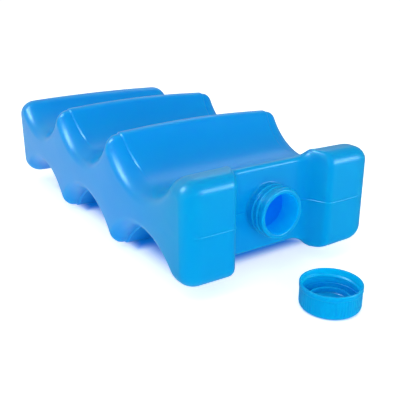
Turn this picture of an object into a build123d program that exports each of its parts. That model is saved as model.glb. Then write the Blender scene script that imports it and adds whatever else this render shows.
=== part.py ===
from build123d import *
from math import cos, hypot, radians, sin, sqrt, tan
import os

# Reusable ice pack: a hollow, blow-moulded bottle shaped to stand between two
# rows of drinks cans. Three bays run across its top and three across its
# underside, with two ridges between them and a lobe at each end. The front
# lobe has a recess with an open screw neck, and the cap lies beside the pack,
# open side up. All sizes are in millimetres. +Z is up, the neck points to -Y,
# and the origin is the middle of the ground that pack and cap stand on.

# The pack lengthwise (along Y) and in height
BAY_PITCH = 66.0            # across one drinks can
FRONT_REACH = 41.1          # from the middle of the last bay to the front face
BACK_REACH = 37.9           # from the middle of the last bay to the back face
RIDGE_HALF = 31.6           # half the height over a ridge, at mid width
LOBE_HALF = 25.1            # half the height over an end lobe
WAIST_HALF = 10.5           # half the thickness under a bay
CREST_R = 3.9
LOBE_R = 7.3
FRONT_R = 6.3
BACK_R = 6.5

# The pack across (along X)
WIDTH = 108.0
RIDGE_CROWN = 3.2           # a ridge stands this much higher at mid width
LOBE_CROWN = 0.5
SIDE_ROUND = 9.2            # how far in from the side the rounding starts

# How much each part of the outline has drawn in where it meets the flat side
SIDE_WAIST_DROP = 6.4
SIDE_FLANK_GROWTH = 5.4     # by which a bay's radius has grown there
SIDE_RIDGE_DROP = 6.8
SIDE_LOBE_DROP = 7.2
SIDE_END_DROP = 5.3
SIDE_CREST_R = 1.2
SIDE_LOBE_R = 4.5
SIDE_END_R = 1.5

# The recess round the neck, with an S-shaped wall on each side of a flat floor
RECESS_FLOOR_HALF = 16.2
RECESS_DEPTH = 13.3
RECESS_FOOT_R = 8.0         # where the S-shaped wall meets the floor
RECESS_SHOULDER_R = 4.0     # where it meets the lobe
RECESS_SLOPE = 66.0
RECESS_EDGE_R = 2.0
LOBE_FLAT = 0.4

# The moulded wall and the neck
WALL = 1.6
INNER_CREST_R = 2.0
INNER_MIN_R = 0.8
INNER_CLOSE_UP = 4.0        # how far in from the rounding the cavity's outlines close up
NECK_R = 11.8
NECK_BORE_R = 9.8
NECK_LENGTH = 11.3
RIM_CHAMFER = 0.3
BORE_OVERRUN = 1.0

# The cap, upside down beside the pack
CAP_R = 13.7
CAP_HEIGHT = 11.4
CAP_INNER_R = 12.75
CAP_TOP = 1.6
CAP_ROOT_R = 12.45          # the inside of its wall near the top, beside the sealing ring
CAP_ROOT_HEIGHT = 2.8
CAP_EDGE_R = 2.2
CAP_BAND = 2.2              # the plain band round the open end
CAP_BAND_STEP = 0.2
PLUG_R = 9.6
PLUG_WALL = 1.1
PLUG_HEIGHT = 2.6
GATE_R = 0.8
GATE_TIP_R = 0.5
GATE_HEIGHT = 0.35
CAP_X = 0.6
CAP_FROM_FRONT = 30.6       # from the front of the pack to the cap's middle

PACK_FRONT = BAY_PITCH + FRONT_REACH
PACK_BACK = BAY_PITCH + BACK_REACH
CAP_Y = -PACK_FRONT - CAP_FROM_FRONT
NEAR_END = CAP_Y - CAP_R
SHIFT_Y = -(PACK_BACK + NEAR_END) / 2
RECESS_FLOOR = PACK_FRONT - RECESS_DEPTH
HALF_WIDTH = WIDTH / 2

# Widths at which the lengthwise outline is drawn, closer where it changes fast
STATIONS = [0, 5.6, 11, 15.2, 18.2, 20.6, 22.4, 23.9, 25.3, 26.7, 28.4, 31, 34.6, 38.4, 41.8, 44.8]
ROUND_ANGLES = [20, 38, 56, 73, 90]


def mix(a, b, share):
    return a + (b - a) * share


def recess_share(x, wall):
    """1 over the recess's floor, 0 over the lobe and between them on the S-shaped wall."""
    foot_r = RECESS_FOOT_R + wall
    shoulder_r = RECESS_SHOULDER_R - wall
    slope = radians(RECESS_SLOPE)
    straight = RECESS_DEPTH - (foot_r + shoulder_r) * (1 - cos(slope))
    foot_end = foot_r * sin(slope)
    shoulder_start = foot_end + straight / tan(slope)
    across = abs(x) - RECESS_FLOOR_HALF
    left = shoulder_start + shoulder_r * sin(slope) - across
    if across <= 0:
        return 1.0
    if left <= 0:
        return 0.0
    if across < foot_end:
        risen = foot_r - sqrt(foot_r**2 - across**2)
    elif across < shoulder_start:
        risen = foot_r * (1 - cos(slope)) + (across - foot_end) * tan(slope)
    else:
        risen = RECESS_DEPTH - shoulder_r + sqrt(shoulder_r**2 - left**2)
    return 1 - risen / RECESS_DEPTH


def lobe_crest(bay_z, bay_r, reach, half, crest_r, end_r):
    """Where the crest's arc is centred past the bay, and the lobe's half height."""
    room = reach - end_r - LOBE_FLAT
    past = sqrt(max((bay_r + crest_r) ** 2 - (bay_z - half + crest_r) ** 2, 0))
    if past > room:
        past = room
        half = bay_z + crest_r - sqrt((bay_r + crest_r) ** 2 - room**2)
    return past, half


def mid_of_arc(centre, radius, start, end):
    my = (start[0] + end[0]) / 2 - centre[0]
    mz = (start[1] + end[1]) / 2 - centre[1]
    size = hypot(my, mz)
    return centre[0] + my / size * radius, centre[1] + mz / size * radius


def outline(x, wall=0.0):
    """The upper half of the lengthwise outline at width x, front to back.

    Each piece is (start, middle, end) in (y, height over mid height); a
    straight piece has no middle. A wall above 0 gives the cavity's outline.
    """
    out = abs(x) + wall
    inboard = HALF_WIDTH - out
    drawn = 0.0
    if inboard < SIDE_ROUND:
        drawn = 1 - sqrt(max(1 - (1 - inboard / SIDE_ROUND) ** 2, 0))
    share = (out / HALF_WIDTH) ** 2
    recess = recess_share(x, wall)
    half = BAY_PITCH / 2

    ridge = RIDGE_HALF - RIDGE_CROWN * share
    depth = ridge - WAIST_HALF
    bay_r = (half**2 + depth**2) / (2 * depth) - CREST_R + SIDE_FLANK_GROWTH * drawn
    waist = WAIST_HALF - SIDE_WAIST_DROP * drawn
    bay_z = waist + bay_r
    ridge -= SIDE_RIDGE_DROP * drawn
    past_bay = bay_z - ridge
    crest_r = (half**2 + past_bay**2 - bay_r**2) / (2 * (bay_r - past_bay))
    crest_r = max(crest_r, SIDE_CREST_R)

    lobe = LOBE_HALF - LOBE_CROWN * share - SIDE_LOBE_DROP * drawn
    lobe_r = mix(LOBE_R, SIDE_LOBE_R, drawn)
    front_r = mix(mix(FRONT_R, SIDE_END_R, drawn), RECESS_EDGE_R, recess)
    back_r = mix(BACK_R, SIDE_END_R, drawn)
    front_lobe_r = mix(lobe_r, RECESS_EDGE_R, recess)
    front = PACK_FRONT - RECESS_DEPTH * recess - SIDE_END_DROP * drawn
    back = PACK_BACK - SIDE_END_DROP * drawn

    if wall > 0:
        bay_r += wall
        waist -= wall
        lobe -= wall
        front -= wall
        back -= wall
        crest_r = INNER_CREST_R
        lobe_r = max(lobe_r - wall, INNER_MIN_R)
        front_lobe_r = max(front_lobe_r - wall, INNER_MIN_R)
        front_r = max(front_r - wall, INNER_MIN_R)
        back_r = max(back_r - wall, INNER_MIN_R)
    ridge = bay_z + crest_r - sqrt((bay_r + crest_r) ** 2 - half**2)
    crest_y = half * crest_r / (bay_r + crest_r)
    crest_z = bay_z - sqrt(bay_r**2 - (half - crest_y) ** 2)

    front_past, front_lobe = lobe_crest(bay_z, bay_r, front - BAY_PITCH, lobe, front_lobe_r, front_r)
    back_past, back_lobe = lobe_crest(bay_z, bay_r, back - BAY_PITCH, lobe, lobe_r, back_r)
    front_share = bay_r / (bay_r + front_lobe_r)
    back_share = bay_r / (bay_r + lobe_r)
    front_tangent = (
        -BAY_PITCH - front_past * front_share,
        bay_z - (bay_z - front_lobe + front_lobe_r) * front_share,
    )
    back_tangent = (
        BAY_PITCH + back_past * back_share,
        bay_z - (bay_z - back_lobe + lobe_r) * back_share,
    )
    slant = sqrt(0.5)

    face = (-front, front_lobe - front_r)
    top = (-front + front_r, front_lobe)
    bend = (-front + front_r * (1 - slant), front_lobe - front_r * (1 - slant))
    pieces = [(face, bend, top)]
    start = (-BAY_PITCH - front_past, front_lobe)
    pieces.append((top, None, start))
    centre = (start[0], front_lobe - front_lobe_r)
    middle = mid_of_arc(centre, front_lobe_r, start, front_tangent)
    pieces.append((start, middle, front_tangent))

    place = front_tangent
    for bay_y in (-BAY_PITCH, 0.0):
        left = (bay_y + half - crest_y, crest_z)
        right = (bay_y + half + crest_y, crest_z)
        pieces.append((place, (bay_y, waist), left))
        pieces.append((left, (bay_y + half, ridge), right))
        place = right
    pieces.append((place, (BAY_PITCH, waist), back_tangent))

    start = (BAY_PITCH + back_past, back_lobe)
    centre = (start[0], back_lobe - lobe_r)
    middle = mid_of_arc(centre, lobe_r, back_tangent, start)
    pieces.append((back_tangent, middle, start))
    top = (back - back_r, back_lobe)
    pieces.append((start, None, top))
    face = (back, back_lobe - back_r)
    bend = (back - back_r * (1 - slant), back_lobe - back_r * (1 - slant))
    pieces.append((top, bend, face))
    return pieces


def outline_wire(x, wall=0.0):
    upper = outline(x, wall)
    lower = [(end, middle, start) for start, middle, end in reversed(upper)]
    edges = []
    for side, pieces in ((1, upper), (-1, lower)):
        def place(point):
            return Vector(x, point[0] + SHIFT_Y, RIDGE_HALF + side * point[1])

        for start, middle, end in pieces:
            if middle is None:
                edges.append(Edge.make_line(place(start), place(end)))
            else:
                edges.append(Edge.make_three_point_arc(place(start), place(middle), place(end)))
        last = pieces[-1][2]
        across = Vector(x, last[0] + SHIFT_Y, RIDGE_HALF - side * last[1])
        edges.append(Edge.make_line(place(last), across))
    return Wire(edges)


def moulded_form(wall=0.0):
    """The pack's outside, or with a wall above 0 the cavity inside it."""
    half = [float(x) for x in STATIONS]
    round_start = HALF_WIDTH - SIDE_ROUND
    half += [round_start + SIDE_ROUND * sin(radians(angle)) for angle in ROUND_ANGLES]
    start = round_start - INNER_CLOSE_UP
    scale = (HALF_WIDTH - wall - start) / (HALF_WIDTH - start)
    half = [x if x < start else start + (x - start) * scale for x in half]
    widths = [-x for x in reversed(half)] + half[1:]
    return Solid.make_loft([outline_wire(x, wall) for x in widths], ruled=False)


def along_neck(radius, near, far):
    """A round bar on the neck's axis, from y = near to y = far (far is frontmost)."""
    base = Plane(origin=(0, near + SHIFT_Y, RIDGE_HALF), z_dir=(0, -1, 0))
    return extrude(base * Circle(radius), near - far)


def make_pack():
    rim = -RECESS_FLOOR - NECK_LENGTH
    inside = -RECESS_FLOOR + WALL / 2
    neck = along_neck(NECK_R, inside, rim)
    rim_edges = neck.edges().filter_by(GeomType.CIRCLE).group_by(Axis.Y)[0]
    neck = chamfer(rim_edges, RIM_CHAMFER)
    pack = moulded_form() + neck
    pack -= moulded_form(WALL)
    pack -= along_neck(NECK_BORE_R, -RECESS_FLOOR + WALL + BORE_OVERRUN, rim - BORE_OVERRUN)
    return pack


def make_cap():
    band = CAP_HEIGHT - CAP_BAND
    skirt_r = CAP_R - CAP_BAND_STEP
    slant = sqrt(0.5)
    profile = Polyline(
        (CAP_R, band),
        (CAP_R, CAP_HEIGHT),
        (CAP_INNER_R, CAP_HEIGHT),
        (CAP_INNER_R, CAP_TOP + CAP_ROOT_HEIGHT),
        (CAP_ROOT_R, CAP_TOP + CAP_ROOT_HEIGHT),
        (CAP_ROOT_R, CAP_TOP),
        (PLUG_R, CAP_TOP),
        (PLUG_R, CAP_TOP + PLUG_HEIGHT),
        (PLUG_R - PLUG_WALL, CAP_TOP + PLUG_HEIGHT),
        (PLUG_R - PLUG_WALL, CAP_TOP),
        (GATE_R, CAP_TOP),
        (GATE_TIP_R, CAP_TOP + GATE_HEIGHT),
        (0, CAP_TOP + GATE_HEIGHT),
        (0, 0),
        (skirt_r - CAP_EDGE_R, 0),
    )
    corner = ThreePointArc(
        (skirt_r - CAP_EDGE_R, 0),
        (skirt_r - CAP_EDGE_R * (1 - slant), CAP_EDGE_R * (1 - slant)),
        (skirt_r, CAP_EDGE_R),
    )
    rest = Polyline((skirt_r, CAP_EDGE_R), (skirt_r, band - CAP_BAND_STEP), (CAP_R, band))
    section = make_face(Plane.XZ * (profile + corner + rest))
    cap = revolve(section, Axis.Z)
    return Pos(CAP_X, CAP_Y + SHIFT_Y, 0) * cap


PARTS = {"pack_body": make_pack(), "screw_cap": make_cap()}

if __name__ == "__main__":
    os.makedirs("parts", exist_ok=True)
    for name, shape in PARTS.items():
        export_step(shape, f"parts/{name}.step")
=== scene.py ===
from math import atan2, cos, hypot, pi, radians, sin, sqrt, tan, tau

import bmesh
import bpy
from mathutils import Matrix, Vector


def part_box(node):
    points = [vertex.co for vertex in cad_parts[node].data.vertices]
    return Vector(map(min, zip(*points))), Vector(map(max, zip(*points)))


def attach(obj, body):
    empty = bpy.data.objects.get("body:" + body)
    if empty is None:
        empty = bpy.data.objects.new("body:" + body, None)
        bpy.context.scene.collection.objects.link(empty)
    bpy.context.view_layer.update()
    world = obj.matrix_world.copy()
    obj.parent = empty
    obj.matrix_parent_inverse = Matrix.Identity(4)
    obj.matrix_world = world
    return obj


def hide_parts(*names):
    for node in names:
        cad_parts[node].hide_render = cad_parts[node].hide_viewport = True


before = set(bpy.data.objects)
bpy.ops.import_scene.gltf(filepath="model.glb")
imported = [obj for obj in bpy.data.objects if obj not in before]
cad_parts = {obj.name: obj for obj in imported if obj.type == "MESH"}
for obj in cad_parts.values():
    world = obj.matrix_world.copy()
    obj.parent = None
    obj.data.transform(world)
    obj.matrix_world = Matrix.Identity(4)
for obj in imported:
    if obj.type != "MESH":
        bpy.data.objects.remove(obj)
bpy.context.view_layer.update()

# The reusable ice pack and its screw cap. Lengths are in millimetres up to the
# last step of each mesh, which brings it to metres.
MM = 0.001

pack_low, pack_high = [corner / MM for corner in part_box("pack_body")]
cap_low, cap_high = [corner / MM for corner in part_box("screw_cap")]

# The fine raised line where the two halves of the mould met
PARTING_HEIGHT = 0.2
PARTING_HALF = 0.36
PARTING_END = 50.5
PARTING_FADE = 4.0
PARTING_ROWS = [-1, -0.5, 0, 0.5, 1]

# The pack lengthwise
BAY_PITCH = 66.0
RIDGE_HALF = (pack_high.z - pack_low.z) / 2
MID_Z = (pack_high.z + pack_low.z) / 2
LOBE_HALF = 25.1
WAIST_HALF = 10.5
CREST_R = 3.9
LOBE_R = 7.3
FRONT_R = 6.3
BACK_R = 6.5
FRONT_REACH = 41.1
BACK_REACH = 37.9
PACK_FRONT = BAY_PITCH + FRONT_REACH - PARTING_HEIGHT
PACK_BACK = BAY_PITCH + BACK_REACH - PARTING_HEIGHT
SHIFT_Y = (pack_low.y + pack_high.y + FRONT_REACH - BACK_REACH) / 2

# The pack across
HALF_WIDTH = (pack_high.x - pack_low.x) / 2
LOBE_CROWN = 0.5
SIDE_ROUND = 9.2
WAIST_DRAW = 6.4
FLANK_DRAW = 5.4
RIDGE_DRAW = 6.8
LOBE_DRAW = 7.2
END_DRAW = 5.3
SIDE_LOBE_R = 4.5
SIDE_END_R = 1.5
SMALLEST_CREST_R = 1.2

# The raised band between the rounded ends of a ridge, wider over its crest than at its foot
BAND_HALF = 44.2
BAND_STEP = 0.95
BAND_HEIGHT = 0.7
BAND_CLIMB = 2.5            # it has its full height at 1 / 2.5 of the way up a ridge
BAND_SLANT = 3.0
SLANT_FROM = 36.0           # the slant grows outwards from here, and fades at the side
SLANT_GROWTH = 6.0
SLANT_SIDE_FADE = 7.0
SLANT_END_FADE = 12.0       # and before the middle of the front and back bays
RIDGE_BASE = RIDGE_HALF - BAND_HEIGHT
RIDGE_CROWN = 2.6

# The recess round the neck, with an S-shaped wall on each side of a flat floor
RECESS_FLOOR_HALF = 16.2
RECESS_DEPTH = 13.3
RECESS_FOOT_R = 8.0
RECESS_SHOULDER_R = 4.0
RECESS_SLOPE = radians(66)
RECESS_EDGE_R = 2.0
RECESS_FLOOR = PACK_FRONT - RECESS_DEPTH
LOBE_FLAT = 0.4

# The pack's wall and the hollow inside it
WALL = 1.6
INNER_MIN_R = 0.8
CAVITY_DETAIL = 0.4         # points on its outline, as a share of those outside
CLOSE_UP_FROM = 40.0        # from here outwards its stations move in by the wall

# Steps on each stretch of the lengthwise outline
FRONT_STEPS = 12
FRONT_FLAT_STEPS = 4
LOBE_STEPS = 12
BAY_STEPS = 36
CREST_STEPS = 14
BACK_FLAT_STEPS = 6
BACK_STEPS = 10
FACE_ROWS = [0.95, 0.8, 0.5, 0.2, -0.2, -0.5, -0.8, -0.95]

# Widths at which the outline is drawn, and how many lie on each curve across
FLOOR_STATIONS = [0, 4.5, 9]
LOBE_STATIONS = [31, 33, 35.5, 38, 40.5, 42.5]
CURVE_STATIONS = 9
SLOPE_STATIONS = 4
BAND_STATIONS = 8
ROUND_STATIONS = 12
ROUND_LATER = 0.3           # how far past its start the rounding has its first station

# The neck
NECK_R = 11.8
NECK_BORE_R = 9.8
NECK_LENGTH = 11.3
NECK_FOOT_R = 1.0
NECK_FLARE_R = 2.2
NECK_SEGMENTS = 120
RIM_R = 0.55
FOOT_STEPS = 6
RIM_STEPS = 5
FLARE_STEPS = 7
BORE_ROWS = [RIM_R + 0.3, 5.0]
BORE_MARGIN = 0.1           # rings up to this much wider than the bore are lit as its wall
HOLE_HALF = 13.6            # the square hole in the recess's floor that the neck fills
HOLE_MARGIN = 3.0           # how far round the hole the floor is cut into rows

# The screw thread of the neck and the cap, with the neck's start and turns
THREAD_PITCH = 3.3
THREAD_HEIGHT = 0.62
THREAD_START = 1.2
THREAD_START_ANGLE = radians(115)
THREAD_TURNS = 2.3
THREAD_FADE = 0.14          # turns over which each end runs out
THREAD_HALF_FOOT = 1.0
THREAD_STEEPNESS = 1.25
THREAD_ROWS = 54

# The cap
CAP_R = (cap_high.x - cap_low.x) / 2
CAP_HEIGHT = cap_high.z - cap_low.z
CAP_PLACE = Vector(((cap_low.x + cap_high.x) / 2, (cap_low.y + cap_high.y) / 2, 0))
CAP_INNER_R = 12.75
CAP_TOP = 1.6
CAP_TOP_ROWS = [0, 4.0, 8.0]
CAP_ROOT_R = 12.45
CAP_ROOT_HEIGHT = 2.8
CAP_ROOT_STEP = 0.1
CAP_EDGE_R = 2.2
CAP_EDGE_STEPS = 8
CAP_BAND = 2.2
CAP_BAND_STEP = 0.2
CAP_BAND_CUT = (0.05, 0.04)  # how far in and down the band's lower edge is cut
CAP_BAND_EASE = 0.1
SKIRT_ROWS = (0.5, 0.4)     # rows this far from the ends of the skirt
CAP_LIT_RIM = 0.05          # faces up to this much wider than the inside wall are lit with it
CAP_THREAD_START = 4.95
CAP_THREAD_TURNS = 1.55
CAP_THREAD_ROWS = 36
PLUG_R = 9.6
PLUG_WALL = 1.1
PLUG_HEIGHT = 2.6
GATE_R = 0.8
GATE_HEIGHT = 0.35
GATE_EDGE = (0.6, 0.9)      # shares of its radius and height
RIBS = 64
RIB_STEPS = 4
RIB_DEPTH = 0.1
RIB_REACH = 0.6             # how far in from the skirt they work on the rounded edge
RIB_START = 0.3             # they fade in from this height, over the rounded edge
RIB_GROWTH = 1.6

# The cap's small roundings: how far each reaches, and how deep its middle is cut
RIM_ROUND = (0.35, 0.1)
ROOT_ROUND = (0.5, 0.15)
PLUG_FOOT_ROUND = (0.3, 0.1)
PLUG_TOP_ROUND = (0.4, 0.12)
INWARDS, OUTWARDS, UP, DOWN = (-1, 0), (1, 0), (0, 1), (0, -1)

SHARP_ANGLE = radians(35)
MERGE_DISTANCE = 0.002
CUT_TOLERANCE = 1e-4
TOUCH = 0.01                # what is this close to a wall or an edge lies on it
NEAR_FLOOR = 0.5            # faces this close to the recess's floor belong to it

# The blue plastic and its gloss. A glow is painted light, an emission on an inside wall that stands in for
# the light that comes through it: the least and the most of it, the axis along which it grows, and where it
# starts and ends.
PACK_BLUE = (0.0, 0.345, 0.68, 1)
# The pack's deeper blue is painted shade behind its front, and also the tone of the faint clouds
PACK_CLOUD_AND_SHADE_BLUE = (0.0, 0.33, 0.78, 1)
PACK_GLOW = ((0, 0.075, 0.24, 1), (0, 0.13, 0.24, 1), "Y", -0.066, -0.08)
CAP_BLUE = (0.0, 0.36, 0.70, 1)
CAP_DEEP_BLUE = (0.0, 0.33, 0.68, 1)
# The cap's painted glow is strongest towards its rim, leaving its inside darker towards its floor
CAP_GLOW = ((0, 0.01, 0.04, 1), (0, 0.17, 0.2, 1), "Z", 0.0045, 0.0095)
PLASTIC_IOR = 1.46
PLASTIC_ROUGHNESS = 0.315
GLOSS_TINT = (0.42, 0.75, 1.0, 1)
SCATTER_RADII = (0.1, 1.0, 1.0)
SCATTER_SCALE = 0.002

# Patterns on the plastic, as scale and detail, and what each does
CLOUDS = (26, 2)
CLOUD_SPREAD = (0.3, 0.7, 0.8, 1.0)
# Painted shade: the blue deepens between these two places along the pack, from the front backwards
PAINTED_SHADE_PLACE = (-0.035, -0.08)
RUBBING = (90, 4)
ROUGHNESS_CHANGE = 0.04
PEBBLING = (900, 2)
WAVINESS = (70, 1)
WAVINESS_SHARE = 5
BUMP_STRENGTH = 0.25
BUMP_DISTANCE = 0.00003

# The ground, with stretches in metres over which it turns from a painted blue shadow to open white
WHITE = (1, 1, 1, 1)
BLACK = (0, 0, 0, 1)
GROUND_COLOUR = (0.84, 0.93, 0.95, 1)
# The blue of the painted shadow under the plastic, and of the painted light that comes through it
PAINTED_SHADOW_BLUE = (0.02, 0.3, 0.8, 1)
UNDER_LIGHT = (0.0, 0.3, 1.0, 1)
GROUND_SIZE = 3.0
GROUND_ROUGHNESS = 0.9
OFF_PACK_SIDE = (-0.028, -0.008)
OFF_PACK_END = (-0.033, -0.02)
OFF_FOOT_SIDE = (-0.018, -0.008)
OFF_FOOT = (0.002, 0.012)
OFF_CAP = (-0.004, 0.0005)
SEEN_LIGHT = (0.25, 0.58)
MIRRORED_PLACE = (-0.1, 0.12)
MIRRORED_LIGHT = (0.12, 0.85)
SCATTERED_LIGHT = 0.3

# The studio round it, and each lamp's direction, distance, two sides and power
WORLD_LIGHT = 0.52
WORLD_MIRRORED_PLACE = (-0.8, 0.8)
WORLD_MIRRORED_LIGHT = (0.1, 0.8)
LAMP_CENTRE = Vector((0, 0, 0.03))
HIGHLIGHT_LAMPS = {"right_highlight": ((0.58, -0.8, 0.13), 1.3, (0.6, 0.38), 10),
                   "left_highlight": ((-0.65, 0.15, 0.72), 1.3, (0.66, 0.46), 22)}
BACK_LAMPS = {"back_softbox": ((0.53, 0.52, 0.67), 1.2, (0.5, 0.5), 0.9)}
FILL_LAMPS = {"front_fill": ((-0.2, -0.95, 0.25), 1.3, (1.0, 0.8), 8),
              "top_fill": ((-0.5, -0.1, 0.85), 1.3, (0.8, 0.8), 4.5)}

# The camera, solved on the outline and crest lines of the photograph
CAMERA_AZIMUTH = -33.18
CAMERA_ELEVATION = 20.59
CAMERA_DISTANCE = 312.6
CAMERA_TARGET = (-12.5, -31.45, 25.7)
CAMERA_ROLL = -0.11
CAMERA_CLIP = (0.01, 20)
FOCAL_PIXELS = 607.5
PICTURE_PIXELS = 400
SENSOR = 36.0


def ease(t):
    t = min(max(t, 0.0), 1.0)
    return t * t * (3 - 2 * t)


def mix(a, b, share):
    return a + (b - a) * share


def quarter(count):
    """Angles from zero to a right angle in equal steps."""
    return [pi / 2 * i / count for i in range(count + 1)]


def arc(centre, radius, start, end, count):
    """Points (y, z) along an arc from one angle to another, without the last."""
    angles = [mix(start, end, i / count) for i in range(count)]
    return [(centre[0] + radius * cos(a), centre[1] + radius * sin(a)) for a in angles]


def line(start, end, count):
    """Points (y, z) along a straight stretch, without the last."""
    return [(mix(start[0], end[0], i / count), mix(start[1], end[1], i / count)) for i in range(count)]


def toward(a, b):
    return atan2(b[1] - a[1], b[0] - a[0])


def recess_wall(wall):
    """Radii of the S-shaped wall, and how far across its foot, slope and shoulder end."""
    foot_r = RECESS_FOOT_R + wall
    shoulder_r = RECESS_SHOULDER_R - wall
    straight = RECESS_DEPTH - (foot_r + shoulder_r) * (1 - cos(RECESS_SLOPE))
    foot_end = foot_r * sin(RECESS_SLOPE)
    slope_end = foot_end + straight / tan(RECESS_SLOPE)
    return foot_r, shoulder_r, foot_end, slope_end, slope_end + shoulder_r * sin(RECESS_SLOPE)


def recess_share(x, wall):
    """1 over the recess's floor, 0 over the lobe and between them on the S-shaped wall."""
    foot_r, shoulder_r, foot_end, slope_end, wall_end = recess_wall(wall)
    across = abs(x) - RECESS_FLOOR_HALF
    if across <= 0:
        return 1.0
    if across >= wall_end:
        return 0.0
    if across < foot_end:
        risen = foot_r - sqrt(foot_r**2 - across**2)
    elif across < slope_end:
        risen = foot_r * (1 - cos(RECESS_SLOPE)) + (across - foot_end) * tan(RECESS_SLOPE)
    else:
        risen = RECESS_DEPTH - shoulder_r + sqrt(shoulder_r**2 - (wall_end - across) ** 2)
    return 1 - risen / RECESS_DEPTH


def lobe_crest(bay_z, bay_r, reach, half, crest_r, end_r):
    """Where the crest's arc is centred past the bay, and the lobe's half height."""
    room = reach - end_r - LOBE_FLAT
    past = sqrt(max((bay_r + crest_r) ** 2 - (bay_z - half + crest_r) ** 2, 0))
    if past > room:
        past = room
        half = bay_z + crest_r - sqrt((bay_r + crest_r) ** 2 - room**2)
    return past, half


def outline(x, wall=0.0, detail=1.0):
    """The closed lengthwise outline at width x, as points (y, height over the middle)."""
    def steps(count):
        return max(2, round(count * detail))

    out = abs(x) + wall
    inboard = HALF_WIDTH - out
    drawn = 0.0
    if inboard < SIDE_ROUND:
        drawn = 1 - sqrt(max(1 - (1 - max(inboard, 0) / SIDE_ROUND) ** 2, 0))
    share = (out / HALF_WIDTH) ** 2
    recess = recess_share(x, wall)
    half = BAY_PITCH / 2

    ridge = RIDGE_BASE - RIDGE_CROWN * share
    depth = ridge - WAIST_HALF
    bay_r = (half**2 + depth**2) / (2 * depth) - CREST_R + FLANK_DRAW * drawn
    bay_z = WAIST_HALF - WAIST_DRAW * drawn + bay_r
    ridge -= RIDGE_DRAW * drawn
    past_bay = bay_z - ridge
    crest_r = (half**2 + past_bay**2 - bay_r**2) / (2 * (bay_r - past_bay))
    crest_r = max(crest_r, SMALLEST_CREST_R)

    lobe = LOBE_HALF - LOBE_CROWN * share - LOBE_DRAW * drawn
    lobe_r = mix(LOBE_R, SIDE_LOBE_R, drawn)
    front_r = mix(mix(FRONT_R, SIDE_END_R, drawn), RECESS_EDGE_R, recess)
    back_r = mix(BACK_R, SIDE_END_R, drawn)
    front_lobe_r = mix(lobe_r, RECESS_EDGE_R, recess)
    front = PACK_FRONT - RECESS_DEPTH * recess - END_DRAW * drawn
    back = PACK_BACK - END_DRAW * drawn
    if wall > 0:
        bay_r += wall
        crest_r = max(crest_r - wall, SMALLEST_CREST_R)
        lobe -= wall
        front -= wall
        back -= wall
        lobe_r, front_lobe_r, front_r, back_r = [max(r - wall, INNER_MIN_R)
                                                 for r in (lobe_r, front_lobe_r, front_r, back_r)]
    ridge = bay_z + crest_r - sqrt((bay_r + crest_r) ** 2 - half**2)

    front_past, front_lobe = lobe_crest(bay_z, bay_r, front - BAY_PITCH, lobe, front_lobe_r, front_r)
    back_past, back_lobe = lobe_crest(bay_z, bay_r, back - BAY_PITCH, lobe, lobe_r, back_r)
    bays = [(-BAY_PITCH, bay_z), (0.0, bay_z), (BAY_PITCH, bay_z)]
    crests = [(-BAY_PITCH - front_past, front_lobe - front_lobe_r), (-half, ridge - crest_r),
              (half, ridge - crest_r), (BAY_PITCH + back_past, back_lobe - lobe_r)]

    upper = arc((-front + front_r, front_lobe - front_r), front_r, pi, pi / 2, steps(FRONT_STEPS))
    upper += line((-front + front_r, front_lobe), (crests[0][0], front_lobe), steps(FRONT_FLAT_STEPS))
    upper += arc(crests[0], front_lobe_r, pi / 2, toward(crests[0], bays[0]), steps(LOBE_STEPS))
    for i, bay in enumerate(bays):
        upper += arc(bay, bay_r, toward(bay, crests[i]), toward(bay, crests[i + 1]), steps(BAY_STEPS))
        if i < 2:
            crest = crests[i + 1]
            upper += arc(crest, crest_r, toward(crest, bay), toward(crest, bays[i + 1]), steps(CREST_STEPS))
    upper += arc(crests[3], lobe_r, toward(crests[3], bays[2]), pi / 2, steps(LOBE_STEPS))
    upper += line((crests[3][0], back_lobe), (back - back_r, back_lobe), steps(BACK_FLAT_STEPS))
    upper += arc((back - back_r, back_lobe - back_r), back_r, pi / 2, 0, steps(BACK_STEPS))

    front_z = front_lobe - front_r
    back_z = back_lobe - back_r
    back_face = [(back, back_z)] + [(back, back_z * row) for row in FACE_ROWS] + [(back, -back_z)]
    front_face = [(-front, -front_z * row) for row in FACE_ROWS]
    lower = [(y, -z) for y, z in reversed(upper[1:])]
    return upper + back_face + lower + [(upper[0][0], -upper[0][1])] + front_face


def finish_mesh(bm, name, material, inside_material):
    """Brings a mesh to metres, points its faces outwards and makes it a smooth piece."""
    bmesh.ops.remove_doubles(bm, verts=bm.verts, dist=MERGE_DISTANCE)
    bmesh.ops.recalc_face_normals(bm, faces=bm.faces)
    bmesh.ops.transform(bm, matrix=Matrix.Diagonal((MM, MM, MM, 1)), verts=bm.verts)
    mesh = bpy.data.meshes.new(name)
    bm.to_mesh(mesh)
    bm.free()
    for polygon in mesh.polygons:
        polygon.use_smooth = True
    mesh.set_sharp_from_angle(angle=SHARP_ANGLE)
    piece = bpy.data.objects.new(name, mesh)
    bpy.context.scene.collection.objects.link(piece)
    mesh.materials.append(material)
    mesh.materials.append(inside_material)
    return piece


def join_into(bm, other):
    """Adds another mesh under construction to this one."""
    mesh = bpy.data.meshes.new("joined")
    other.to_mesh(mesh)
    other.free()
    bm.from_mesh(mesh)
    bpy.data.meshes.remove(mesh)


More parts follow.
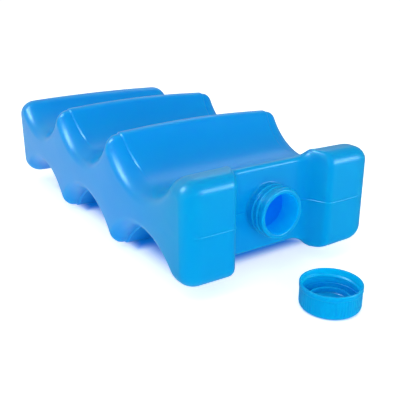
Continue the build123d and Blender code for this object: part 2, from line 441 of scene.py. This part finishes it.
def stations(wall):
    """Widths at which the outline is drawn, closer at the recess walls and the band's edges."""
    foot_r, shoulder_r, foot_end, slope_end, wall_end = recess_wall(wall)
    half = FLOOR_STATIONS + [HOLE_HALF, RECESS_FLOOR_HALF]
    half += [RECESS_FLOOR_HALF + foot_r * sin(RECESS_SLOPE * i / CURVE_STATIONS)
             for i in range(1, CURVE_STATIONS)]
    half += [RECESS_FLOOR_HALF + mix(foot_end, slope_end, i / SLOPE_STATIONS)
             for i in range(SLOPE_STATIONS)]
    half += [RECESS_FLOOR_HALF + wall_end - shoulder_r * sin(RECESS_SLOPE * (1 - i / CURVE_STATIONS))
             for i in range(CURVE_STATIONS + 1)]
    half += LOBE_STATIONS
    if wall == 0:
        half += [BAND_HALF + BAND_STEP * (i / BAND_STATIONS - 0.5) for i in range(BAND_STATIONS + 1)]
    start = HALF_WIDTH - SIDE_ROUND + ROUND_LATER
    rounding = [start + (HALF_WIDTH - start) * sin(a) for a in quarter(ROUND_STATIONS)]
    half = [x for x in half if x < start] + rounding
    scale = (HALF_WIDTH - wall - CLOSE_UP_FROM) / (HALF_WIDTH - CLOSE_UP_FROM)
    half = [x if x < CLOSE_UP_FROM else CLOSE_UP_FROM + (x - CLOSE_UP_FROM) * scale for x in half]
    return [-x for x in reversed(half[1:])] + half


def loft(bm, sections):
    """Extrudes a closed outline from station to station and closes both ends."""
    ring = [bm.verts.new(point) for point in sections[0]]
    edges = [bm.edges.new((ring[i - 1], ring[i])) for i in range(len(ring))]
    bmesh.ops.triangle_fill(bm, edges=edges, use_beauty=True)
    for section in sections[1:]:
        order = {vert: i for i, vert in enumerate(ring)}
        made = bmesh.ops.extrude_edge_only(bm, edges=edges)["geom"]
        edges = [item for item in made if isinstance(item, bmesh.types.BMEdge)]
        new = [item for item in made if isinstance(item, bmesh.types.BMVert)]
        following = [None] * len(ring)
        for vert in new:
            for edge in vert.link_edges:
                index = order.get(edge.other_vert(vert))
                if index is not None:
                    following[index] = vert
        for vert, point in zip(following, section):
            vert.co = point
        ring = following
        fresh = set(new)
        edges = [edge for edge in edges if edge.verts[0] in fresh and edge.verts[1] in fresh]
    bmesh.ops.triangle_fill(bm, edges=edges, use_beauty=True)


def band_rise(x, z):
    """How far the surface stands out for the raised band, and how far its edge leans out there."""
    across = ease((BAND_HALF + BAND_STEP / 2 - abs(x)) / BAND_STEP)
    high = RIDGE_BASE - RIDGE_CROWN * (x / HALF_WIDTH) ** 2
    climb = min(max((abs(z) - WAIST_HALF) / (high - WAIST_HALF), 0), 1)
    near = ease((abs(x) - SLANT_FROM) / SLANT_GROWTH) * ease((HALF_WIDTH - abs(x)) / SLANT_SIDE_FADE)
    lean = BAND_SLANT * (climb - 0.5) * near
    return BAND_HEIGHT * across * ease(climb * BAND_CLIMB), lean if x > 0 else -lean


def section_points(x, wall, detail):
    """The outline at width x as 3-D points in the frame, outside with the raised band on it."""
    points = outline(x, wall, detail)
    count = len(points)
    placed = []
    for i, (y, z) in enumerate(points):
        lean = 0.0
        if wall == 0 and abs(y) < BAY_PITCH:
            rise, lean = band_rise(x, z)
            before, after = points[i - 1], points[(i + 1) % count]
            along = (after[0] - before[0], after[1] - before[1])
            size = hypot(*along)
            y -= along[1] / size * rise
            z += along[0] / size * rise
            lean *= ease((BAY_PITCH - abs(y)) / SLANT_END_FADE)
        placed.append(Vector((x + lean, y + SHIFT_Y, z + MID_Z)))
    return placed


def cut_across(bm, geom, height):
    """Cuts a row of edges at a height over the middle."""
    bmesh.ops.bisect_plane(bm, geom=geom, dist=CUT_TOLERANCE, plane_co=(0, 0, MID_Z + height),
                           plane_no=(0, 0, 1))


def raise_parting_line(bm):
    """Cuts rows along mid height and lifts them, over the end faces and the recess walls."""
    for row in PARTING_ROWS:
        cut_across(bm, bm.verts[:] + bm.edges[:] + bm.faces[:], row * PARTING_HALF)
    bm.normal_update()
    lifted = []
    for vert in bm.verts:
        off = abs(vert.co.z - MID_Z) / PARTING_HALF
        fade = ease((PARTING_END - abs(vert.co.x)) / PARTING_FADE)
        if off < 1 and fade > 0:
            lifted.append((vert, vert.normal * PARTING_HEIGHT * fade * (1 - off**2)))
    for vert, step in lifted:
        vert.co += step


def on_floor(face, y, half):
    """Whether a face lies in the flat wall at y, within half of the neck's axis across."""
    return all(abs(v.co.y - y - SHIFT_Y) < NEAR_FLOOR and abs(v.co.x) < half for v in face.verts)


def square_rows(bm, y):
    """Cuts rows at the hole's height so that the hole in the wall at y is square."""
    for side in (-1, 1):
        near = [face for face in bm.faces if on_floor(face, y, HOLE_HALF + HOLE_MARGIN)]
        edges = [edge for face in near for edge in face.edges]
        verts = [vert for face in near for vert in face.verts]
        cut_across(bm, list(dict.fromkeys(near + edges + verts)), side * HOLE_HALF)


def open_floor(bm, y):
    """Cuts a square hole in the flat wall at y round the neck's axis; returns its edges."""
    half = HOLE_HALF + TOUCH
    cut_out = [face for face in bm.faces
               if on_floor(face, y, half) and all(abs(v.co.z - MID_Z) < half for v in face.verts)]
    bmesh.ops.delete(bm, geom=cut_out, context="FACES")
    return [edge for edge in bm.edges if len(edge.link_faces) == 1]


def thread_rise(angle, along, turns):
    """Height of a right-hand thread over its root, from the angle and way along since its start."""
    height = 0.0
    turn = angle / tau % 1
    while turn < turns:
        off = abs(along - turn * THREAD_PITCH)
        fade = ease(turn / THREAD_FADE) * ease((turns - turn) / THREAD_FADE)
        flank = ease((THREAD_HALF_FOOT - off) / THREAD_HALF_FOOT * THREAD_STEEPNESS)
        height = max(height, fade * THREAD_HEIGHT * flank)
        turn += 1
    return height


def neck_rings():
    """Radius and place along the neck of each ring, from the foot over the rim to the flare inside."""
    floor = -RECESS_FLOOR
    rim = floor - NECK_LENGTH
    inner_end = floor + WALL
    rings = [(NECK_R + NECK_FOOT_R * (1 - sin(a)), floor - NECK_FOOT_R * (1 - cos(a)))
             for a in quarter(FOOT_STEPS)]
    rings += [(NECK_R, mix(floor - NECK_FOOT_R, rim + RIM_R, i / THREAD_ROWS))
              for i in range(1, THREAD_ROWS)]
    rings += [(NECK_R - RIM_R * (1 - cos(a)), rim + RIM_R * (1 - sin(a))) for a in quarter(RIM_STEPS)]
    rings += [(NECK_BORE_R + RIM_R * (1 - sin(a)), rim + RIM_R * (1 - cos(a))) for a in quarter(RIM_STEPS)]
    rings += [(NECK_BORE_R, rim + row) for row in BORE_ROWS]
    rings += [(NECK_BORE_R + NECK_FLARE_R * (1 - cos(a)), inner_end - NECK_FLARE_R * (1 - sin(a)))
              for a in quarter(FLARE_STEPS)]
    return rings


def ring_on_neck(bm, radius, y):
    """A closed circle of edges round the neck's axis, with the thread on it outside."""
    turn = Matrix.Translation((0, y + SHIFT_Y, MID_Z)) @ Matrix.Rotation(pi / 2, 4, "X")
    verts = bmesh.ops.create_circle(bm, segments=NECK_SEGMENTS, radius=radius, matrix=turn)["verts"]
    if radius == NECK_R:
        along = y + RECESS_FLOOR + NECK_LENGTH - THREAD_START
        for vert in verts:
            across, up = vert.co.x, vert.co.z - MID_Z
            rise = thread_rise(atan2(-up, across) + THREAD_START_ANGLE, along, THREAD_TURNS)
            vert.co.x = across * (radius + rise) / radius
            vert.co.z = MID_Z + up * (radius + rise) / radius
    return list({edge for vert in verts for edge in vert.link_edges})


def build_pack(material, inside_material):
    """The hollow moulding: outside, neck with its thread, bore, and the cavity's wall."""
    floor = -RECESS_FLOOR
    bm = bmesh.new()
    loft(bm, [section_points(x, 0.0, 1.0) for x in stations(0.0)])
    square_rows(bm, floor)
    raise_parting_line(bm)
    outer_hole = open_floor(bm, floor)

    rings = neck_rings()
    edges = ring_on_neck(bm, *rings[0])
    bmesh.ops.bridge_loops(bm, edges=outer_hole + edges)
    for radius, y in rings[1:]:
        following = ring_on_neck(bm, radius, y)
        made = bmesh.ops.bridge_loops(bm, edges=edges + following)["faces"]
        edges = following
        # The bore and the flare inside take the material with the painted glow
        if radius < NECK_BORE_R + BORE_MARGIN or y > floor:
            for face in made:
                face.material_index = 1

    cavity = bmesh.new()
    loft(cavity, [section_points(x, WALL, CAVITY_DETAIL) for x in stations(WALL)[::2]])
    square_rows(cavity, floor + WALL)
    # The cavity's wall takes the material with the painted glow
    for face in cavity.faces:
        face.material_index = 1
    join_into(bm, cavity)
    inner_hole = open_floor(bm, floor + WALL)
    bmesh.ops.bridge_loops(bm, edges=inner_hole)

    piece = finish_mesh(bm, "ice_pack_moulding", material, inside_material)
    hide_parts("pack_body")
    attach(piece, "root")


def rounded(r, z, way_in, way_out, size):
    """Three points that round a corner of the cap's profile, between the stretches in and out of it."""
    reach, cut = size
    return [(r + way_in[0] * reach, z + way_in[1] * reach),
            (r + (way_in[0] + way_out[0]) * cut, z + (way_in[1] + way_out[1]) * cut),
            (r + way_out[0] * reach, z + way_out[1] * reach)]


def cap_profile(skirt_r, band, root):
    """The cap's half section (r, z): out along its top, up its skirt, over the rim and back inside."""
    plug_top = CAP_TOP + PLUG_HEIGHT
    plug_inner_r = PLUG_R - PLUG_WALL
    wall_top = CAP_HEIGHT - RIM_ROUND[0]
    wall_foot = root + CAP_ROOT_STEP
    profile = [(r, 0) for r in CAP_TOP_ROWS]
    profile += [(skirt_r - CAP_EDGE_R * (1 - sin(a)), CAP_EDGE_R * (1 - cos(a)))
                for a in quarter(CAP_EDGE_STEPS)]
    profile += [(skirt_r, CAP_EDGE_R + SKIRT_ROWS[0]), (skirt_r, band - CAP_BAND_STEP - SKIRT_ROWS[1])]
    profile += [(skirt_r, band - CAP_BAND_STEP), (CAP_R - CAP_BAND_CUT[0], band - CAP_BAND_CUT[1])]
    profile += [(CAP_R, band + CAP_BAND_EASE)]
    profile += rounded(CAP_R, CAP_HEIGHT, DOWN, INWARDS, RIM_ROUND)
    profile += rounded(CAP_INNER_R, CAP_HEIGHT, OUTWARDS, DOWN, RIM_ROUND)
    profile += [(CAP_INNER_R, mix(wall_top, wall_foot, i / CAP_THREAD_ROWS))
                for i in range(1, CAP_THREAD_ROWS)]
    profile += [(CAP_INNER_R, wall_foot), (CAP_INNER_R - CAP_ROOT_STEP, root)]
    profile += [(CAP_ROOT_R, root - CAP_ROOT_STEP)]
    profile += rounded(CAP_ROOT_R, CAP_TOP, UP, INWARDS, ROOT_ROUND)
    profile += rounded(PLUG_R, CAP_TOP, OUTWARDS, UP, PLUG_FOOT_ROUND)
    profile += rounded(PLUG_R, plug_top, DOWN, INWARDS, PLUG_TOP_ROUND)
    profile += rounded(plug_inner_r, plug_top, OUTWARDS, DOWN, PLUG_TOP_ROUND)
    foot = PLUG_FOOT_ROUND[0]
    profile += [(plug_inner_r, CAP_TOP + foot), (plug_inner_r - foot, CAP_TOP), (CAP_TOP_ROWS[1], CAP_TOP)]
    profile += [(GATE_R, CAP_TOP), (GATE_R * GATE_EDGE[0], CAP_TOP + GATE_HEIGHT * GATE_EDGE[1])]
    profile += [(0, CAP_TOP + GATE_HEIGHT)]
    return profile


def build_cap(material, inside_material):
    """The cap, open side up, with ribs round its skirt and a thread on its inside wall."""
    bm = bmesh.new()
    band = CAP_HEIGHT - CAP_BAND
    skirt_r = CAP_R - CAP_BAND_STEP
    root = CAP_TOP + CAP_ROOT_HEIGHT
    verts = [bm.verts.new((r, 0, z)) for r, z in cap_profile(skirt_r, band, root)]
    edges = [bm.edges.new(pair) for pair in zip(verts, verts[1:])]
    bmesh.ops.spin(bm, geom=verts + edges, cent=(0, 0, 0), axis=(0, 0, 1), angle=tau,
                   steps=RIBS * RIB_STEPS, use_merge=True)
    bmesh.ops.remove_doubles(bm, verts=bm.verts, dist=MERGE_DISTANCE)

    # The grip ribs, which run out into the plain band and the rounded edge, and the thread inside
    for vert in bm.verts:
        r = hypot(vert.co.x, vert.co.y)
        a = atan2(vert.co.y, vert.co.x)
        deep = 0.0
        if r > skirt_r - RIB_REACH and vert.co.z < band - CAP_BAND_STEP - CAP_BAND_EASE:
            deep = RIB_DEPTH * (1 - cos(a * RIBS)) / 2 * ease((vert.co.z - RIB_START) / RIB_GROWTH)
        elif abs(r - CAP_INNER_R) < TOUCH and vert.co.z > root:
            deep = thread_rise(a - pi / 2, vert.co.z - CAP_THREAD_START, CAP_THREAD_TURNS)
        if deep > 0:
            vert.co.x *= (r - deep) / r
            vert.co.y *= (r - deep) / r
    # The cap's inside takes the material with the painted glow
    for face in bm.faces:
        middle = face.calc_center_median()
        if hypot(middle.x, middle.y) < CAP_INNER_R + CAP_LIT_RIM and middle.z > CAP_TOP / 2:
            face.material_index = 1
    bmesh.ops.translate(bm, vec=CAP_PLACE, verts=bm.verts)
    piece = finish_mesh(bm, "screw_cap_moulding", material, inside_material)
    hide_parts("screw_cap")
    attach(piece, "root")


def fill_socket(tree, socket, given):
    """Links a socket to another node's output, or sets it to a value."""
    if isinstance(given, bpy.types.NodeSocket):
        tree.links.new(given, socket)
    else:
        socket.default_value = given


def add_node(tree, kind, inputs=None, **settings):
    """Adds a shader node of a kind, with its settings made and its inputs filled."""
    node = tree.nodes.new("ShaderNode" + kind)
    for name, value in settings.items():
        setattr(node, name, value)
    for socket, given in (inputs or {}).items():
        fill_socket(tree, node.inputs[socket], given)
    return node


def calc(tree, operation, *values):
    """The result of one sum on sockets or numbers."""
    return add_node(tree, "Math", dict(enumerate(values)), operation=operation).outputs["Value"]


def scaled(tree, value, place, result=(0.0, 1.0), curve="LINEAR"):
    """Goes from the first result to the second while the value goes through its two places."""
    inputs = {"Value": value, "From Min": place[0], "From Max": place[1],
              "To Min": result[0], "To Max": result[1]}
    return add_node(tree, "MapRange", inputs, interpolation_type=curve).outputs["Result"]


def blend(tree, share, first, second):
    """A colour between two."""
    inputs = {"Factor": share, "A": first, "B": second}
    return add_node(tree, "Mix", inputs, data_type="RGBA").outputs["Result"]


def object_place(tree):
    """The place on the object, whole and as its three coordinates."""
    place = add_node(tree, "TexCoord").outputs["Object"]
    return place, add_node(tree, "SeparateXYZ", {"Vector": place}).outputs


def build_moulded_finish_and_shade():
    """A node group: cloudy tone, painted shade that deepens the blue behind the front, uneven gloss and the
    fine pebbling of moulded plastic.
    """
    tree = bpy.data.node_groups.new("moulded_finish_and_shade", "ShaderNodeTree")
    for name, way, kind in (("Colour", "INPUT", "Color"), ("Cloud And Shade Colour", "INPUT", "Color"),
                            ("Roughness", "INPUT", "Float"), ("Colour", "OUTPUT", "Color"),
                            ("Roughness", "OUTPUT", "Float"), ("Height", "OUTPUT", "Float")):
        tree.interface.new_socket(name, in_out=way, socket_type="NodeSocket" + kind)
    given = tree.nodes.new("NodeGroupInput").outputs
    result = tree.nodes.new("NodeGroupOutput").inputs
    place, along = object_place(tree)

    def noise(scale, detail):
        inputs = {"Vector": place, "Scale": scale, "Detail": detail}
        return add_node(tree, "TexNoise", inputs).outputs["Fac"]

    # Thicker and thinner places in the wall, seen as faint clouds, and painted shade: the blue deepens from
    # the front lobes backwards, standing in for less light coming through the plastic there
    cloud = scaled(tree, noise(*CLOUDS), CLOUD_SPREAD[:2], CLOUD_SPREAD[2:])
    share = calc(tree, "MULTIPLY", cloud, scaled(tree, along["Y"], PAINTED_SHADE_PLACE))
    fill_socket(tree, result["Colour"], blend(tree, share, given["Cloud And Shade Colour"], given["Colour"]))

    # Gloss that varies where the plastic has been handled
    change = scaled(tree, noise(*RUBBING), (0.0, 1.0), (-ROUGHNESS_CHANGE, ROUGHNESS_CHANGE))
    fill_socket(tree, result["Roughness"], calc(tree, "ADD", given["Roughness"], change))

    # Fine pebbling with a slow waviness under it
    height = calc(tree, "MULTIPLY_ADD", noise(*WAVINESS), WAVINESS_SHARE, noise(*PEBBLING))
    fill_socket(tree, result["Height"], height)
    return tree


def blue_plastic(name, finish_and_shade, colour, deep, glow=None):
    """Satin blue plastic, with the painted glow of an inside wall if one is given."""
    material = bpy.data.materials.new(name)
    material.use_nodes = True
    tree = material.node_tree
    # The deep colour shows in the faint clouds and, on the pack, as painted shade behind its front
    inputs = {"Colour": colour, "Cloud And Shade Colour": deep, "Roughness": PLASTIC_ROUGHNESS}
    finish_and_shade_outputs = add_node(tree, "Group", inputs, node_tree=finish_and_shade).outputs
    inputs = {"Strength": BUMP_STRENGTH, "Distance": BUMP_DISTANCE, "Height": finish_and_shade_outputs["Height"]}
    bump = add_node(tree, "Bump", inputs).outputs
    surface = {"Base Color": finish_and_shade_outputs["Colour"], "Roughness": finish_and_shade_outputs["Roughness"], "Normal": bump["Normal"],
               "IOR": PLASTIC_IOR, "Specular Tint": GLOSS_TINT, "Subsurface Weight": 1.0,
               "Subsurface Radius": SCATTER_RADII, "Subsurface Scale": SCATTER_SCALE}
    if glow:
        least, most, axis, start, end = glow
        share = scaled(tree, object_place(tree)[1][axis], (start, end))
        surface["Emission Color"] = blend(tree, share, least, most)
        surface["Emission Strength"] = 1.0
    for socket, given in surface.items():
        fill_socket(tree, tree.nodes["Principled BSDF"].inputs[socket], given)
    return material


def white_ground():
    """A pale ground that shows white to the camera, with a painted blue shadow where it lies under the
    plastic.
    """
    material = bpy.data.materials.new("white_ground")
    material.use_nodes = True
    tree = material.node_tree
    across = object_place(tree)[1]
    x, y = across["X"], across["Y"]

    def apart(value, middle):
        return calc(tree, "ABSOLUTE", calc(tree, "SUBTRACT", value, middle * MM))

    def smooth(value, place, result=(0.0, 1.0)):
        return scaled(tree, value, place, result, "SMOOTHSTEP")

    # How far a place is outside the rectangle under the pack, its feet and the circle under the cap, which
    # bound the painted shadow
    beside = calc(tree, "SUBTRACT", apart(x, 0), HALF_WIDTH * MM)
    past_end = calc(tree, "SUBTRACT", apart(y, (pack_low.y + pack_high.y) / 2),
                    (pack_high.y - pack_low.y) / 2 * MM)
    off_pack = calc(tree, "MAXIMUM", smooth(beside, OFF_PACK_SIDE), smooth(past_end, OFF_PACK_END))
    from_foot = calc(tree, "ABSOLUTE", calc(tree, "SUBTRACT", apart(y, SHIFT_Y), BAY_PITCH / 2 * MM))
    off_feet = calc(tree, "MAXIMUM", smooth(beside, OFF_FOOT_SIDE), smooth(from_foot, OFF_FOOT))
    from_cap = calc(tree, "ADD", calc(tree, "POWER", apart(x, CAP_PLACE.x), 2),
                    calc(tree, "POWER", apart(y, CAP_PLACE.y), 2))
    off_cap = calc(tree, "SUBTRACT", calc(tree, "SQRT", from_cap), CAP_R * MM)
    off_small = calc(tree, "MULTIPLY", off_feet, smooth(off_cap, OFF_CAP))
    outside_painted_shadow = calc(tree, "MULTIPLY", off_pack, off_small)

    # Its own light: to the camera, dimmed under the plastic for the painted shadow, in the plastic's gloss,
    # growing to the back left, and on the plastic
    rays = add_node(tree, "LightPath").outputs
    glossy = rays["Is Glossy Ray"]
    seen = calc(tree, "MULTIPLY", rays["Is Camera Ray"], smooth(outside_painted_shadow, (0.0, 1.0), SEEN_LIGHT))
    back_left = calc(tree, "SUBTRACT", y, x)
    mirrored = calc(tree, "MULTIPLY", glossy, smooth(back_left, MIRRORED_PLACE, MIRRORED_LIGHT))
    scattered = calc(tree, "MULTIPLY", rays["Is Diffuse Ray"],
                     calc(tree, "MULTIPLY", outside_painted_shadow, SCATTERED_LIGHT))
    # Painted shadow: blue colour and dim blue light where the ground lies under the plastic, white outside
    colour = blend(tree, outside_painted_shadow, PAINTED_SHADOW_BLUE, GROUND_COLOUR)
    surface = {"Roughness": GROUND_ROUGHNESS, "Specular IOR Level": 0.0,
               "Base Color": blend(tree, glossy, colour, BLACK),
               "Emission Color": blend(tree, outside_painted_shadow, UNDER_LIGHT, WHITE),
               "Emission Strength": calc(tree, "ADD", calc(tree, "ADD", seen, mirrored), scattered)}
    for socket, given in surface.items():
        fill_socket(tree, tree.nodes["Principled BSDF"].inputs[socket], given)
    return material


def build_ground():
    bm = bmesh.new()
    bmesh.ops.create_grid(bm, x_segments=2, y_segments=2, size=GROUND_SIZE)
    mesh = bpy.data.meshes.new("ground")
    bm.to_mesh(mesh)
    bm.free()
    ground = bpy.data.objects.new("ground", mesh)
    bpy.context.scene.collection.objects.link(ground)
    mesh.materials.append(white_ground())


def softbox(name, direction, distance, size, power):
    """A rectangular lamp seen from the object in the given direction."""
    data = bpy.data.lights.new(name, "AREA")
    data.shape = "RECTANGLE"
    data.size, data.size_y = size
    data.energy = power
    lamp = bpy.data.objects.new(name, data)
    away = Vector(direction).normalized()
    lamp.location = away * distance + LAMP_CENTRE
    lamp.rotation_euler = (-away).to_track_quat("-Z", "Y").to_euler()
    bpy.context.scene.collection.objects.link(lamp)
    return lamp


def build_light():
    """The studio, white to the camera and lighter to the back left in the gloss, and its lamps."""
    world = bpy.data.worlds.new("studio")
    bpy.context.scene.world = world
    world.use_nodes = True
    tree = world.node_tree
    place = add_node(tree, "TexCoord").outputs["Generated"]
    way = add_node(tree, "SeparateXYZ", {"Vector": place}).outputs
    back_left = calc(tree, "SUBTRACT", way["Y"], way["X"])
    mirrored = scaled(tree, back_left, WORLD_MIRRORED_PLACE, WORLD_MIRRORED_LIGHT)
    rays = add_node(tree, "LightPath").outputs
    level = WORLD_LIGHT
    for ray, own_level in (("Is Glossy Ray", mirrored), ("Is Camera Ray", 1.0)):
        inputs = {"Factor": rays[ray], "A": level, "B": own_level}
        level = add_node(tree, "Mix", inputs, data_type="FLOAT").outputs["Result"]
    background = tree.nodes["Background"].inputs
    fill_socket(tree, background["Color"], WHITE)
    fill_socket(tree, background["Strength"], level)

    for name, lamp in HIGHLIGHT_LAMPS.items():
        softbox(name, *lamp).visible_diffuse = False
    for name, lamp in BACK_LAMPS.items():
        softbox(name, *lamp)
    for name, lamp in FILL_LAMPS.items():
        softbox(name, *lamp).visible_glossy = False


def build_camera():
    data = bpy.data.cameras.new("camera")
    data.sensor_width = SENSOR
    data.lens = FOCAL_PIXELS / PICTURE_PIXELS * SENSOR
    data.clip_start, data.clip_end = CAMERA_CLIP
    camera = bpy.data.objects.new("camera", data)
    azimuth, elevation = radians(CAMERA_AZIMUTH), radians(CAMERA_ELEVATION)
    back = Vector((sin(azimuth) * cos(elevation), -cos(azimuth) * cos(elevation), sin(elevation)))
    camera.location = (Vector(CAMERA_TARGET) + back * CAMERA_DISTANCE) * MM
    turn = (-back).to_track_quat("-Z", "Y").to_matrix().to_4x4()
    camera.rotation_mode = "QUATERNION"
    camera.rotation_quaternion = (turn @ Matrix.Rotation(radians(CAMERA_ROLL), 4, "Z")).to_quaternion()
    bpy.context.scene.collection.objects.link(camera)
    bpy.context.scene.camera = camera


moulded_finish_and_shade = build_moulded_finish_and_shade()
pack_plastic = blue_plastic("satin_blue_pack", moulded_finish_and_shade, PACK_BLUE, PACK_CLOUD_AND_SHADE_BLUE)
lit_pack = blue_plastic("pack_lit_through", moulded_finish_and_shade, PACK_BLUE, PACK_CLOUD_AND_SHADE_BLUE, PACK_GLOW)
cap_plastic = blue_plastic("satin_blue_cap", moulded_finish_and_shade, CAP_BLUE, CAP_DEEP_BLUE)
lit_cap = blue_plastic("cap_lit_through", moulded_finish_and_shade, CAP_BLUE, CAP_DEEP_BLUE, CAP_GLOW)
build_pack(pack_plastic, lit_pack)
build_cap(cap_plastic, lit_cap)
build_ground()
build_light()
build_camera()
bpy.context.scene.view_settings.view_transform = "Standard"
